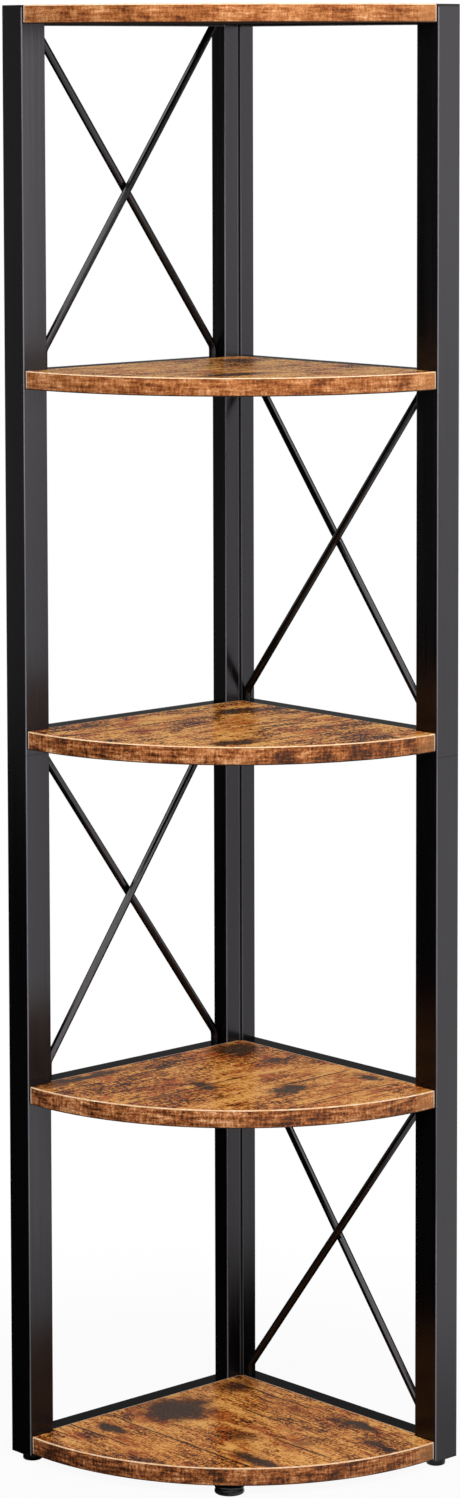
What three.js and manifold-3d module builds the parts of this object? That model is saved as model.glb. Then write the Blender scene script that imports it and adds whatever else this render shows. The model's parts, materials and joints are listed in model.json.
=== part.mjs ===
// Corner shelf unit: five fan-shaped boards between two welded tube frames that meet in a room corner.
// Millimetres, +Z up from the floor. The origin is under the middle of the plan.
// The two walls are parallel to X and Y: the left frame stands along the wall at -X,
// the right frame along the wall at +Y, and the curved board edges face +X and -Y.
import * as THREE from 'three';
import { mergeVertices } from 'three/addons/utils/BufferGeometryUtils.js';
import Module from 'manifold-3d';

const wasm = await Module();
wasm.setup();

// Whole unit
const frameReach = 310;        // front face of a front post, from the wall side of the other frame's bars
const shelfPitch = 355;        // from one board top to the next
const shelfCount = 5;
const feetHeight = 8;          // floor to the lower end of the posts
const overrun = 5;             // how far every cutting body passes through what it cuts
const slipFit = 0.3;           // clearance round plugs, sleeves, bolts and threads
const seamGap = 0.3;           // between the upper and the lower post

// Square tubes
const frontPostSize = 30;
const frontPostWall = 1.5;
const barSize = 20;            // the rear posts are the same tube as the shelf bars
const barWall = 1.2;
const tubeCornerRadius = 1.5;
const tubeCornerSteps = 2;
const seamBelowBoardTop = 24;  // the posts are made in two lengths that meet below the middle board
const sleeveLength = 50;
const sleeveWall = 2;
const capFlange = 2.5;
const capFlangeChamfer = 0.6;
const plugFlange = 1.5;
const plugDepth = 14;

// Boards
const boardThickness = 18;
const boardTipSetback = 2.4;   // from a front post's front face
const boardArcInset = 10.5;    // arc centre, from the board's straight edges
const boardArcSteps = 36;
const boardTipFlat = 17;       // flat end of a board beside a front post
const boardTipCorner = 0.8;
const boardRearCorner = 5;
const boardEdgeChamfer = 0.5;
const boardPostGap = 0.4;      // beside the front posts
const boardNotchLead = 2;      // the notch for a front post starts this far ahead of it

// Brace rods
const rodRadius = 4;
const rodSides = 12;
const rodCrossingGap = 0.3;
const rodPostGap = 0.3;
const lowestRodGap = 3;        // the same, of the lowest rod beside the rear post
const rodLegHeight = 7.5;      // straight leg that stands on the lower bar
const leftRoomLegHeight = 15;  // the same, of the left frame's room-side rods
const rightWallLegHeight = 10; // and of the right frame's wall-side rods
const rodTopLeg = 1;           // straight leg under the upper bar, beside a front post
const leftRodTopInset = 10.5;    // from the rear post, under the upper bar, of a rod that rises to the rear
const rightRodTopInset = 7.5;
const rodBendRadius = 10;
const rodBendSteps = 4;
const leftBraceBays = [2, 4];  // counted from the floor
const rightBraceBays = [1, 3];

// Board bolts
const boltRadius = 2.5;
const boltHeadRadius = 4.75;
const boltHeadHeight = 2.8;
const boltHeadEdge = 1.2;
const boltSocketRadius = 1.6;
const boltSocketDepth = 1.4;
const boltGrip = 26;           // length inside the board
const boltSides = 10;

// Feet
const stemRadius = 3;
const postStemLength = 20;
const footTravelUp = 1.5;
const footEdge = 1.4;
const footSides = 18;
const boreSides = 12;
const frontFootRadius = 9.75;
const postFootThickness = 5.5;
const rearFootSideGap = 1.5;   // a rear foot is this much smaller than its post on each side
const boardFootRadius = 15;
const boardFootEdge = 2;
const boardFootNeck = 2;
const boardFootInset = 13;     // its centre, from the middle of the board's front edge
const insertRadius = 5;
const insertLength = 12;
const insertHoleDepth = 15;

// Worked out from the sizes above
const postProud = (frontPostSize - barSize) / 2;
const planCentre = (frameReach - postProud) / 2;
const shelfTopLowest = feetHeight + barSize;
const totalHeight = shelfTopLowest + shelfPitch * (shelfCount - 1);
const frontPostFace = frameReach - frontPostSize;
const middleShelf = (shelfCount + 1) / 2;
const seamHeight = shelfTop(middleShelf) - seamBelowBoardTop;
const boardArcCentre = barSize + boardArcInset;
const boardBesidePost = barSize + postProud + boardPostGap;
const boardTip = frameReach - boardTipSetback;
const boardTipEnd = boardBesidePost + boardTipFlat;
const boardArcRadius = Math.hypot(boardTip - boardArcCentre, boardTipEnd - boardArcCentre);
const leftRearPostEnd = 2 * barSize;
const rightRearPostEnd = barSize;

function shelfTop(shelf) {
  return shelfTopLowest + shelfPitch * (shelf - 1);
}

// Materials
const blackSteel = () => new THREE.MeshStandardMaterial({ color: 0x2b2a2c, roughness: 0.45, metalness: 0.4 });
const rusticBoard = () => new THREE.MeshStandardMaterial({ color: 0x9a6236, roughness: 0.6, metalness: 0 });
const blackPlastic = () => new THREE.MeshStandardMaterial({ color: 0x151516, roughness: 0.5, metalness: 0 });
const zincSteel = () => new THREE.MeshStandardMaterial({ color: 0xa9abad, roughness: 0.35, metalness: 0.9 });

// Solids and meshes
function toSolid(geometry) {
  const bare = geometry.clone();
  bare.deleteAttribute('normal');
  bare.deleteAttribute('uv');
  const merged = mergeVertices(bare);
  const corners = merged.index.array;
  const faces = [];
  for (let i = 0; i < corners.length; i += 3) {
    const [a, b, c] = corners.slice(i, i + 3);
    if (a !== b && b !== c && c !== a) {
      faces.push(a, b, c);
    }
  }
  return new wasm.Manifold(new wasm.Mesh({
    numProp: 3,
    vertProperties: new Float32Array(merged.attributes.position.array),
    triVerts: new Uint32Array(faces),
  }));
}

function toGeometry(solid) {
  const mesh = solid.getMesh();
  const geometry = new THREE.BufferGeometry();
  geometry.setAttribute('position', new THREE.BufferAttribute(mesh.vertProperties, mesh.numProp));
  geometry.setIndex(new THREE.BufferAttribute(mesh.triVerts, 1));
  geometry.computeVertexNormals();
  return geometry;
}

function addMesh(group, name, geometry, material, x, y, z) {
  const mesh = new THREE.Mesh(geometry, material);
  mesh.name = name;
  mesh.position.set(x, y, z);
  group.add(mesh);
  return mesh;
}

// A square with round corners, centred on the origin
function drawRoundedSquare(path, size, radius) {
  const half = size / 2;
  const flat = half - radius;
  path.moveTo(half, -flat);
  path.absarc(flat, flat, radius, 0, Math.PI / 2);
  path.absarc(-flat, flat, radius, Math.PI / 2, Math.PI);
  path.absarc(-flat, -flat, radius, Math.PI, Math.PI * 3 / 2);
  path.absarc(flat, -flat, radius, Math.PI * 3 / 2, Math.PI * 2);
  path.closePath();
  return path;
}

function innerCornerRadius(wall) {
  return Math.max(tubeCornerRadius - wall, slipFit);
}

// A square tube along +Z from the origin
function squareTube(size, wall, length) {
  const section = drawRoundedSquare(new THREE.Shape(), size, tubeCornerRadius);
  section.holes.push(drawRoundedSquare(new THREE.Path(), size - 2 * wall, innerCornerRadius(wall)));
  const settings = { depth: length, curveSegments: tubeCornerSteps, bevelEnabled: false };
  return new THREE.ExtrudeGeometry(section, settings);
}

function circlePoints(radius, sides) {
  const angles = Array.from({ length: sides }, (_, k) => 2 * Math.PI * k / sides);
  return angles.map((angle) => new THREE.Vector2(radius * Math.cos(angle), radius * Math.sin(angle)));
}

// A square block along +Z from the origin, with an optional round bore
function squareBlock(size, radius, length, boreRadius = 0) {
  const section = drawRoundedSquare(new THREE.Shape(), size, radius);
  if (boreRadius > 0) {
    section.holes.push(new THREE.Path(circlePoints(boreRadius, boreSides)));
  }
  const settings = { depth: length, curveSegments: tubeCornerSteps, bevelEnabled: false };
  return new THREE.ExtrudeGeometry(section, settings);
}

// A shelf bar along +X from the origin, with a cross hole for the board bolt in the middle of its length
function shelfBar(length) {
  const tube = squareTube(barSize, barWall, length).rotateY(Math.PI / 2);
  const radius = boltRadius + slipFit;
  const drill = new THREE.CylinderGeometry(radius, radius, barSize + 2 * overrun, boltSides);
  drill.translate(length / 2, 0, barSize / 2 - boardThickness / 2);
  return toGeometry(toSolid(tube).subtract(toSolid(drill)));
}

// A round rod along a path in the XZ plane, cut level at both ends
function sweptRod(path) {
  const across = new THREE.Vector3(0, 1, 0);
  const level = new THREE.Vector3(0, 0, 1);
  const places = path.map((point) => new THREE.Vector3(point.x, 0, point.y));
  const runs = places.slice(1).map((place, i) => place.clone().sub(places[i]).normalize());
  const positions = [];
  const faces = [];
  places.forEach((place, ring) => {
    const run = runs[Math.min(ring, runs.length - 1)];
    const inner = ring > 0 && ring < places.length - 1;
    const cut = inner ? run.clone().add(runs[ring - 1]).normalize() : level;
    const side = across.clone().cross(run);
    for (let k = 0; k < rodSides; k++) {
      const angle = 2 * Math.PI * k / rodSides;
      const offset = side.clone().multiplyScalar(rodRadius * Math.cos(angle));
      offset.addScaledVector(across, rodRadius * Math.sin(angle));
      offset.addScaledVector(run, -offset.dot(cut) / run.dot(cut));
      positions.push(...offset.add(place).toArray());
    }
  });
  for (let ring = 0; ring < runs.length; ring++) {
    for (let k = 0; k < rodSides; k++) {
      const a = ring * rodSides + k;
      const b = ring * rodSides + (k + 1) % rodSides;
      faces.push(a, b, b + rodSides, a, b + rodSides, a + rodSides);
    }
  }
  const last = runs.length * rodSides;
  for (let k = 1; k < rodSides - 1; k++) {
    faces.push(0, k + 1, k, last, last + k, last + k + 1);
  }
  const geometry = new THREE.BufferGeometry();
  geometry.setAttribute('position', new THREE.Float32BufferAttribute(positions, 3));
  geometry.setIndex(faces);
  geometry.computeVertexNormals();
  return geometry;
}

// Centre line of a brace rod: an upright leg, a bend, and a straight run to the far top corner.
// With a top leg it bends upright again there
function bracePath(span, rise, direction, legHeight, topLeg) {
  const lowCentre = new THREE.Vector2(rodBendRadius, legHeight);
  const highCentre = new THREE.Vector2(span - rodBendRadius, rise - topLeg);
  const bends = lowCentre.clone().add(highCentre);
  const aim = topLeg > 0 ? bends.clone().multiplyScalar(1 / 2) : new THREE.Vector2(span, rise);
  const reach = aim.clone().sub(lowCentre);
  const leaveAngle = reach.angle() + Math.acos(rodBendRadius / reach.length());
  const lowBend = [];
  for (let step = 0; step <= rodBendSteps; step++) {
    const angle = Math.PI + (leaveAngle - Math.PI) * step / rodBendSteps;
    const spoke = new THREE.Vector2(Math.cos(angle), Math.sin(angle)).multiplyScalar(rodBendRadius);
    lowBend.push(spoke.add(lowCentre));
  }
  const highBend = topLeg > 0 ? lowBend.map((point) => bends.clone().sub(point)).reverse() : [];
  const points = [new THREE.Vector2(0, 0), ...lowBend, ...highBend, new THREE.Vector2(span, rise)];
  return points.map((point) => new THREE.Vector2(point.x * direction, point.y));
}

// Point of the plan at distance u from the wall of the right frame and v from the wall of the left frame
function planPoint(u, v) {
  return new THREE.Vector2(v - planCentre, planCentre - u);
}

// Half of a board's outline, from the rear corner to the start of the front arc, as [along, away] pairs
function boardHalfOutline() {
  const notch = frontPostFace - boardNotchLead;
  return [
    [barSize + boardRearCorner, barSize],
    [notch, barSize],
    [notch, boardBesidePost],
    [boardTip - boardTipCorner, boardBesidePost],
    [boardTip, boardBesidePost + boardTipCorner],
    [boardTip, boardTipEnd],
  ];
}

// The front arc between the two tips
function boardArc() {
  const start = Math.asin((boardTipEnd - boardArcCentre) / boardArcRadius);
  const points = [];
  for (let step = 1; step < boardArcSteps; step++) {
    const angle = start + (Math.PI / 2 - 2 * start) * step / boardArcSteps;
    const u = boardArcCentre + boardArcRadius * Math.sin(angle);
    const v = boardArcCentre + boardArcRadius * Math.cos(angle);
    points.push(planPoint(u, v));
  }
  return points;
}

function boardBlank() {
  const half = boardHalfOutline();
  const rightEdge = half.map(([along, away]) => planPoint(away, along));
  const leftEdge = half.map(([along, away]) => planPoint(along, away)).reverse();
  const outline = new THREE.Shape([...rightEdge, ...boardArc(), ...leftEdge].reverse());
  const blank = new THREE.ExtrudeGeometry(outline, {
    depth: boardThickness - 2 * boardEdgeChamfer,
    bevelEnabled: true,
    bevelThickness: boardEdgeChamfer,
    bevelSize: boardEdgeChamfer,
    bevelOffset: -boardEdgeChamfer,
    bevelSegments: 1,
  });
  return blank.translate(0, 0, boardEdgeChamfer);
}

// Middle of the bar that carries a board bolt, along its frame
function boltPlace(rearPostEnd) {
  return (rearPostEnd + frontPostFace) / 2;
}

// A board with a blind hole for the bolt of each frame, and its underside at z = 0
function boardSolid() {
  const depth = boltGrip + slipFit;
  const radius = boltRadius + slipFit;
  const drill = new THREE.CylinderGeometry(radius, radius, depth + overrun, boltSides);
  const shift = (depth - overrun) / 2;
  const right = planPoint(barSize + shift, boltPlace(rightRearPostEnd));
  const left = planPoint(boltPlace(leftRearPostEnd), barSize + shift);
  const rightDrill = drill.clone().translate(right.x, right.y, boardThickness / 2);
  const leftDrill = drill.clone().rotateZ(Math.PI / 2).translate(left.x, left.y, boardThickness / 2);
  return toSolid(boardBlank()).subtract(toSolid(rightDrill)).subtract(toSolid(leftDrill));
}

// The board's foot stands on the diagonal, just behind the middle of the front edge
function boardFootPoint() {
  const place = boardArcCentre + (boardArcRadius - boardFootInset) / Math.SQRT2;
  return planPoint(place, place);
}

// The lowest board also has the hole for the threaded insert of its foot
function lowestBoardSolid() {
  const radius = insertRadius + slipFit;
  const place = boardFootPoint();
  const drill = new THREE.CylinderGeometry(radius, radius, insertHoleDepth + overrun, footSides);
  drill.rotateX(Math.PI / 2).translate(place.x, place.y, (insertHoleDepth - overrun) / 2);
  return boardSolid().subtract(toSolid(drill));
}

// A turned piece whose profile runs from the axis to the axis, standing on z = 0
function turned(profile, sides) {
  const points = profile.map(([radius, height]) => new THREE.Vector2(radius, height));
  return new THREE.LatheGeometry(points, sides).rotateX(Math.PI / 2);
}

// A levelling foot: a round pad and its threaded stem
function levellingFoot(radius, thickness, edge, stemTop) {
  return turned([
    [0, 0],
    [radius - edge, 0],
    [radius - edge / 3, edge / 3],
    [radius, edge],
    [radius, thickness - edge / 2],
    [radius - edge / 2, thickness],
    [stemRadius, thickness],
    [stemRadius, stemTop - stemRadius / 3],
    [stemRadius * 2 / 3, stemTop],
    [0, stemTop],
  ], footSides);
}

// Threaded insert: a bush with an open bore, its lower face at z = 0
function insertBush() {
  const ring = new THREE.Shape(circlePoints(insertRadius, footSides));
  ring.holes.push(new THREE.Path(circlePoints(stemRadius + slipFit, footSides)));
  return new THREE.ExtrudeGeometry(ring, { depth: insertLength, bevelEnabled: false });
}

// Board bolt with its head under face at y = 0, the head towards +Y and the shank towards -Y
function boardBolt() {
  const shank = barSize + boltGrip;
  const profile = [
    [0, -shank],
    [boltRadius / 2, -shank],
    [boltRadius, boltRadius / 2 - shank],
    [boltRadius, 0],
    [boltHeadRadius, 0],
    [boltHeadRadius, boltHeadHeight - boltHeadEdge],
    [boltHeadRadius - boltHeadEdge, boltHeadHeight],
    [boltSocketRadius, boltHeadHeight],
    [boltSocketRadius, boltHeadHeight - boltSocketDepth],
    [0, boltHeadHeight - boltSocketDepth],
  ];
  const points = profile.map(([radius, height]) => new THREE.Vector2(radius, height));
  return new THREE.LatheGeometry(points, boltSides);
}

// End cap for the top of a post: a chamfered flange on a block that fills the tube, flange top at z = 0
function topCap(size, wall) {
  const flange = new THREE.ExtrudeGeometry(drawRoundedSquare(new THREE.Shape(), size, tubeCornerRadius), {
    depth: capFlange - capFlangeChamfer,
    curveSegments: tubeCornerSteps,
    bevelEnabled: true,
    bevelThickness: capFlangeChamfer,
    bevelSize: capFlangeChamfer,
    bevelOffset: -capFlangeChamfer,
    bevelSegments: 1,
  }).translate(0, 0, -capFlange);
  const trim = new THREE.BoxGeometry(size + overrun, size + overrun, overrun);
  trim.translate(0, 0, -capFlange - overrun / 2);
  const blockSize = size - 2 * wall - 2 * slipFit;
  const block = squareBlock(blockSize, innerCornerRadius(wall), plugDepth + capFlange / 2);
  block.translate(0, 0, -capFlange - plugDepth);
  return toGeometry(toSolid(flange).subtract(toSolid(trim)).add(toSolid(block)));
}

// Plug for the lower end of a post, bored for the stem of its foot, flange underside at z = 0
function footPlug(size, wall) {
  const bore = stemRadius + slipFit;
  const flange = squareBlock(size, tubeCornerRadius, plugFlange, bore);
  const blockSize = size - 2 * wall - 2 * slipFit;
  const block = squareBlock(blockSize, innerCornerRadius(wall), plugFlange / 2 + plugDepth, bore);
  block.translate(0, 0, plugFlange / 2);
  return toGeometry(toSolid(flange).add(toSolid(block)));
}

// One post of a frame, in two lengths, with its sleeve, cap, plug and foot, at a distance along the frame
function addPost(group, name, along, size, wall, footRadius) {
  const lowerEnd = feetHeight + plugFlange;
  const upperEnd = totalHeight - capFlange;
  const lower = squareTube(size, wall, seamHeight - seamGap / 2 - lowerEnd);
  const upper = squareTube(size, wall, upperEnd - seamHeight - seamGap / 2);
  const sleeve = squareTube(size - 2 * wall - 2 * slipFit, sleeveWall, sleeveLength);
  const foot = levellingFoot(footRadius, postFootThickness, footEdge, postFootThickness + postStemLength);
  addMesh(group, name + '_post_lower', lower, blackSteel(), along, 0, lowerEnd);
  addMesh(group, name + '_post_upper', upper, blackSteel(), along, 0, seamHeight + seamGap / 2);
  addMesh(group, name + '_post_sleeve', sleeve, blackPlastic(), along, 0, seamHeight - sleeveLength / 2);
  addMesh(group, name + '_top_cap', topCap(size, wall), blackPlastic(), along, 0, totalHeight);
  addMesh(group, name + '_foot_plug', footPlug(size, wall), blackPlastic(), along, 0, feetHeight);
  addMesh(group, name + '_foot', foot, blackPlastic(), along, 0, 0);
}

// The crossed rods of one bay. The rod that is low at the rear rises beside the front post
function addBrace(group, name, bay, frame) {
  const lowerBarTop = shelfTop(bay);
  const rise = shelfPitch - barSize;
  const legInset = rodRadius + rodPostGap;
  const rearInset = rodRadius + (bay === 1 ? lowestRodGap : rodPostGap);
  const clear = frontPostFace - frame.rearFace;
  const offset = frame.roomSide * (rodRadius + rodCrossingGap / 2);
  const rods = [
    { label: '_room_side', y: offset, lowAtRear: frame.roomRodLowAtRear, legHeight: frame.roomLegHeight },
    { label: '_wall_side', y: -offset, lowAtRear: !frame.roomRodLowAtRear, legHeight: frame.wallLegHeight },
  ];
  for (const rod of rods) {
    const start = rod.lowAtRear ? frame.rearFace + rearInset : frontPostFace - legInset;
    const insets = rod.lowAtRear ? rearInset + legInset : legInset + frame.rodTopInset;
    const topLeg = rod.lowAtRear ? rodTopLeg : 0;
    const direction = rod.lowAtRear ? 1 : -1;
    const path = bracePath(clear - insets, rise, direction, rod.legHeight, topLeg);
    const label = name + '_brace_' + bay + rod.label;
    addMesh(group, label, sweptRod(path), blackSteel(), start, rod.y, lowerBarTop);
  }
}

// One side frame. Local X runs from the room corner to the front, local Y = 0 is the middle of the tubes,
// and roomSide is +1 or -1, the local Y direction that faces the room
function addFrame(group, name, frame) {
  const rearFace = frame.rearFace;
  const frontPostCentre = frameReach - frontPostSize / 2;
  addPost(group, name + '_rear', rearFace - barSize / 2, barSize, barWall, barSize / 2 - rearFootSideGap);
  addPost(group, name + '_front', frontPostCentre, frontPostSize, frontPostWall, frontFootRadius);
  for (let shelf = 1; shelf <= shelfCount; shelf++) {
    const bar = shelfBar(frontPostFace - rearFace);
    const label = name + '_shelf_bar_' + shelf;
    addMesh(group, label, bar, blackSteel(), rearFace, 0, shelfTop(shelf) - barSize / 2);
    const boltHeight = shelfTop(shelf) - boardThickness / 2;
    const wallSide = -frame.roomSide * barSize / 2;
    const boltLabel = name + '_board_bolt_' + shelf;
    const place = boltPlace(rearFace);
    const bolt = addMesh(group, boltLabel, boardBolt(), zincSteel(), place, wallSide, boltHeight);
    bolt.rotation.z = frame.roomSide > 0 ? Math.PI : 0;
  }
  for (const bay of frame.braceBays) {
    addBrace(group, name, bay, frame);
  }
}

const unit = new THREE.Group();

const rightFrame = new THREE.Group();
rightFrame.position.set(-planCentre, planCentre - barSize / 2, 0);
addFrame(rightFrame, 'right', {
  rearFace: rightRearPostEnd,
  roomSide: -1,
  braceBays: rightBraceBays,
  roomRodLowAtRear: true,
  roomLegHeight: rodLegHeight,
  wallLegHeight: rightWallLegHeight,
  rodTopInset: rightRodTopInset,
});
unit.add(rightFrame);

const leftFrame = new THREE.Group();
leftFrame.position.set(barSize / 2 - planCentre, planCentre, 0);
leftFrame.rotation.z = -Math.PI / 2;
addFrame(leftFrame, 'left', {
  rearFace: leftRearPostEnd,
  roomSide: 1,
  braceBays: leftBraceBays,
  roomRodLowAtRear: false,
  roomLegHeight: leftRoomLegHeight,
  wallLegHeight: rodLegHeight,
  rodTopInset: leftRodTopInset,
});
unit.add(leftFrame);

for (let shelf = 1; shelf <= shelfCount; shelf++) {
  const solid = shelf === 1 ? lowestBoardSolid() : boardSolid();
  const underside = shelfTop(shelf) - boardThickness;
  addMesh(unit, 'shelf_board_' + shelf, toGeometry(solid), rusticBoard(), 0, 0, underside);
}

const boardUnderside = shelfTop(1) - boardThickness;
const boardFootStemTop = boardUnderside + insertHoleDepth - footTravelUp - slipFit;
const footPlace = boardFootPoint();
const boardFoot = levellingFoot(
  boardFootRadius, boardUnderside - boardFootNeck, boardFootEdge, boardFootStemTop);
addMesh(unit, 'board_foot', boardFoot, blackPlastic(), footPlace.x, footPlace.y, 0);
addMesh(unit, 'board_foot_insert', insertBush(), zincSteel(), footPlace.x, footPlace.y, boardUnderside);

export default unit;
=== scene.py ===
import json
import math

import bpy
from mathutils import Matrix, Vector


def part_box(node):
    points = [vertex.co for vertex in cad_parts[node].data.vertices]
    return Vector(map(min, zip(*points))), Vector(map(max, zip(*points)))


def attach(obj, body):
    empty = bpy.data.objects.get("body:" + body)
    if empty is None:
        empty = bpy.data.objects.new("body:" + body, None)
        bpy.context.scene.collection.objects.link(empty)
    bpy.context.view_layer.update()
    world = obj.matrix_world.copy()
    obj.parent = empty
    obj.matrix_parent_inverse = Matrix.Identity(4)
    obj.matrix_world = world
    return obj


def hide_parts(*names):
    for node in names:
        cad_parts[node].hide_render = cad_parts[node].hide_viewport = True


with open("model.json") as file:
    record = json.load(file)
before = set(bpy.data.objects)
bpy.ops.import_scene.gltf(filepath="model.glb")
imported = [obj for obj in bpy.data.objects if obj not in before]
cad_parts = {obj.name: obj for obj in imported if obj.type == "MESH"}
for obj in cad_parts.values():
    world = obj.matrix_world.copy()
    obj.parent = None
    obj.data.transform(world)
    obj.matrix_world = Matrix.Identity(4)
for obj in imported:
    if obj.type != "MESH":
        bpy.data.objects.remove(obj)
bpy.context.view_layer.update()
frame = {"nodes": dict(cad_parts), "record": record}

MM = 0.001
SHELVES = 5

# Sizes of the tubes and boards, as in the CAD source
BAR = 20 * MM
POST_PROUD = 5 * MM
FRAME_REACH = 310 * MM
FRONT_POST = 30 * MM
PITCH = 355 * MM
LOWEST_TOP = 28 * MM
ARC_INSET = 10.5 * MM
POST_GAP = 0.4 * MM
TIP_SETBACK = 2.4 * MM
TIP_FLAT = 17 * MM
NOTCH_LEAD = 2 * MM
REAR_CORNER = 5 * MM

ARC_CENTRE = BAR + ARC_INSET
BESIDE_POST = BAR + POST_PROUD + POST_GAP
TIP = FRAME_REACH - TIP_SETBACK
TIP_END = BESIDE_POST + TIP_FLAT
ARC_RADIUS = math.hypot(TIP - ARC_CENTRE, TIP_END - ARC_CENTRE)
NOTCH = FRAME_REACH - FRONT_POST - NOTCH_LEAD
PLAN_CENTRE = (FRAME_REACH - POST_PROUD) / 2
TOP_LEVEL = LOWEST_TOP + PITCH * (SHELVES - 1)

# Edge band, finer than in the CAD source
BAND_THICKNESS = 1.2 * MM
BAND_EDGE = 1.1 * MM
BAND_ROUND_SHARE = 0.3         # of the edge, how far the middle of its round stands in
CORE_EDGE = 0.3 * MM
ARC_STEPS = 120
SMOOTH_ANGLE = 30              # degrees, sharper edges than this stay sharp


def plan(u, v):
    """Point of the plan u from the right frame's wall side and v from the left frame's wall side."""
    return Vector((v - PLAN_CENTRE, PLAN_CENTRE - u))


# Camera: fitted to the photograph
PHOTO_HEIGHT = 1498
FOCAL_PIXELS = 4185.4
AXIS_ROW = 418.91              # picture row of the optical axis
CAMERA_PLACE = (3.01272, -2.74684, 1.39998)
CAMERA_AZIMUTH = 47.662
CAMERA_PITCH = 4.979
CAMERA_ROLL = -0.135
SENSOR = 36.0
CLIP_END = 100


def make_camera():
    data = bpy.data.cameras.new("camera")
    data.sensor_fit = "AUTO"
    data.sensor_width = SENSOR
    data.lens = SENSOR * FOCAL_PIXELS / PHOTO_HEIGHT
    data.shift_y = (AXIS_ROW - PHOTO_HEIGHT / 2) / PHOTO_HEIGHT
    data.clip_end = CLIP_END
    camera = bpy.data.objects.new("camera", data)
    bpy.context.scene.collection.objects.link(camera)
    azimuth = math.radians(CAMERA_AZIMUTH)
    pitch = math.radians(CAMERA_PITCH)
    level = Vector((-math.sin(azimuth), math.cos(azimuth), 0.0))
    look = level * math.cos(pitch) - Vector((0.0, 0.0, math.sin(pitch)))
    turn = look.to_track_quat("-Z", "Y").to_matrix().to_4x4()
    roll = Matrix.Rotation(math.radians(CAMERA_ROLL), 4, "Z")
    camera.matrix_world = Matrix.Translation(CAMERA_PLACE) @ turn @ roll
    bpy.context.scene.camera = camera


# Node helpers
def add(tree, kind, inputs=None, **settings):
    """A new shader node. inputs maps socket names or numbers to values or to sockets of other nodes."""
    made = tree.nodes.new(kind)
    for name, value in settings.items():
        setattr(made, name, value)
    for name, value in (inputs or {}).items():
        if isinstance(value, bpy.types.NodeSocket):
            tree.links.new(value, made.inputs[name])
        else:
            made.inputs[name].default_value = value
    return made


def maths(tree, operation, *values, clamp=False):
    made = add(tree, "ShaderNodeMath", dict(enumerate(values)), operation=operation, use_clamp=clamp)
    return made.outputs[0]


def vector_maths(tree, operation, *values):
    return add(tree, "ShaderNodeVectorMath", dict(enumerate(values)), operation=operation).outputs[0]


def noise_node(tree, vector, scale, detail, roughness, distortion):
    values = {"Scale": scale, "Detail": detail, "Roughness": roughness, "Distortion": distortion}
    return add(tree, "ShaderNodeTexNoise", {"Vector": vector, **values})


def noise(tree, vector, scale, detail=2.0, roughness=0.5, distortion=0.0):
    return noise_node(tree, vector, scale, detail, roughness, distortion).outputs["Fac"]


def warped(tree, vector, scale, reach):
    """The vector pushed about by up to half of reach, in swirls of the given frequency."""
    swirl = noise_node(tree, vector, scale, 3.0, 0.6, 0.0).outputs["Color"]
    push = vector_maths(tree, "SUBTRACT", swirl, (0.5, 0.5, 0.5))
    return vector_maths(tree, "ADD", vector, vector_maths(tree, "MULTIPLY", push, (reach, reach, 0.0)))


def smooth(tree, value, low, high, out_low=0.0, out_high=1.0):
    """Smooth step from out_low to out_high as value goes from low to high."""
    inputs = {"Value": value, "From Min": low, "From Max": high, "To Min": out_low, "To Max": out_high}
    return add(tree, "ShaderNodeMapRange", inputs, interpolation_type="SMOOTHSTEP").outputs[0]


def mix_value(tree, factor, a, b):
    return add(tree, "ShaderNodeMix", {0: factor, 2: a, 3: b}, data_type="FLOAT").outputs[0]


def mix_colour(tree, factor, a, b, blend="MIX"):
    """a and b are colour sockets or plain colours."""
    a, b = ((*side, 1.0) if isinstance(side, tuple) else side for side in (a, b))
    made = add(tree, "ShaderNodeMix", {0: factor, 6: a, 7: b}, data_type="RGBA", blend_type=blend)
    return made.outputs[2]


def ramp(tree, value, stops):
    made = add(tree, "ShaderNodeValToRGB", {0: value})
    elements = made.color_ramp.elements
    while len(elements) < len(stops):
        elements.new(0.5)
    for element, (place, colour) in zip(elements, stops):
        element.position = place
        element.color = (*colour, 1.0)
    return made.outputs[0]


def stretched(tree, vector, x, y, z):
    """The vector with its parts scaled to per-metre frequencies."""
    return vector_maths(tree, "MULTIPLY", vector, (x, y, z))


def noise_layers(tree, vector, table):
    """One noise for each named row of a table."""
    layers = {}
    for name, (first, second, detail, roughness, distortion) in table.items():
        flat = stretched(tree, vector, first, second, 1.0)
        layers[name] = noise(tree, flat, 1.0, detail, roughness, distortion)
    return layers


def near_middle(tree, value, middle, low, high, strength=1.0):
    """The strength where value lies within low of middle, fading to nothing at high."""
    gap = maths(tree, "ABSOLUTE", maths(tree, "SUBTRACT", value, middle))
    return smooth(tree, gap, low, high, strength, 0.0)


def dot(tree, vector, direction):
    made = add(tree, "ShaderNodeVectorMath", {0: vector, 1: direction}, operation="DOT_PRODUCT")
    return made.outputs["Value"]


def vector_length(tree, vector):
    return add(tree, "ShaderNodeVectorMath", {0: vector}, operation="LENGTH").outputs["Value"]


def split(tree, vector):
    """The X, Y and Z of a vector."""
    return add(tree, "ShaderNodeSeparateXYZ", {0: vector}).outputs


def empty_material(name):
    material = bpy.data.materials.new(name)
    material.use_nodes = True
    material.node_tree.nodes.clear()
    return material, material.node_tree


def new_material(name):
    """A material with an empty principled shader, and the place on the object."""
    material, tree = empty_material(name)
    output = add(tree, "ShaderNodeOutputMaterial")
    shader = add(tree, "ShaderNodeBsdfPrincipled")
    tree.links.new(shader.outputs[0], output.inputs[0])
    place = add(tree, "ShaderNodeTexCoord").outputs["Object"]
    return material, tree, shader, place


def bump(tree, shader, height, strength, distance):
    made = add(tree, "ShaderNodeBump", {"Height": height, "Strength": strength, "Distance": distance})
    tree.links.new(made.outputs[0], shader.inputs["Normal"])


def linear(red, green, blue):
    """Linear colour of an sRGB colour given as 0 to 255."""
    parts = [part / 255 for part in (red, green, blue)]
    return tuple(part / 12.92 if part < 0.04045 else ((part + 0.055) / 1.055) ** 2.4 for part in parts)


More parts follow.
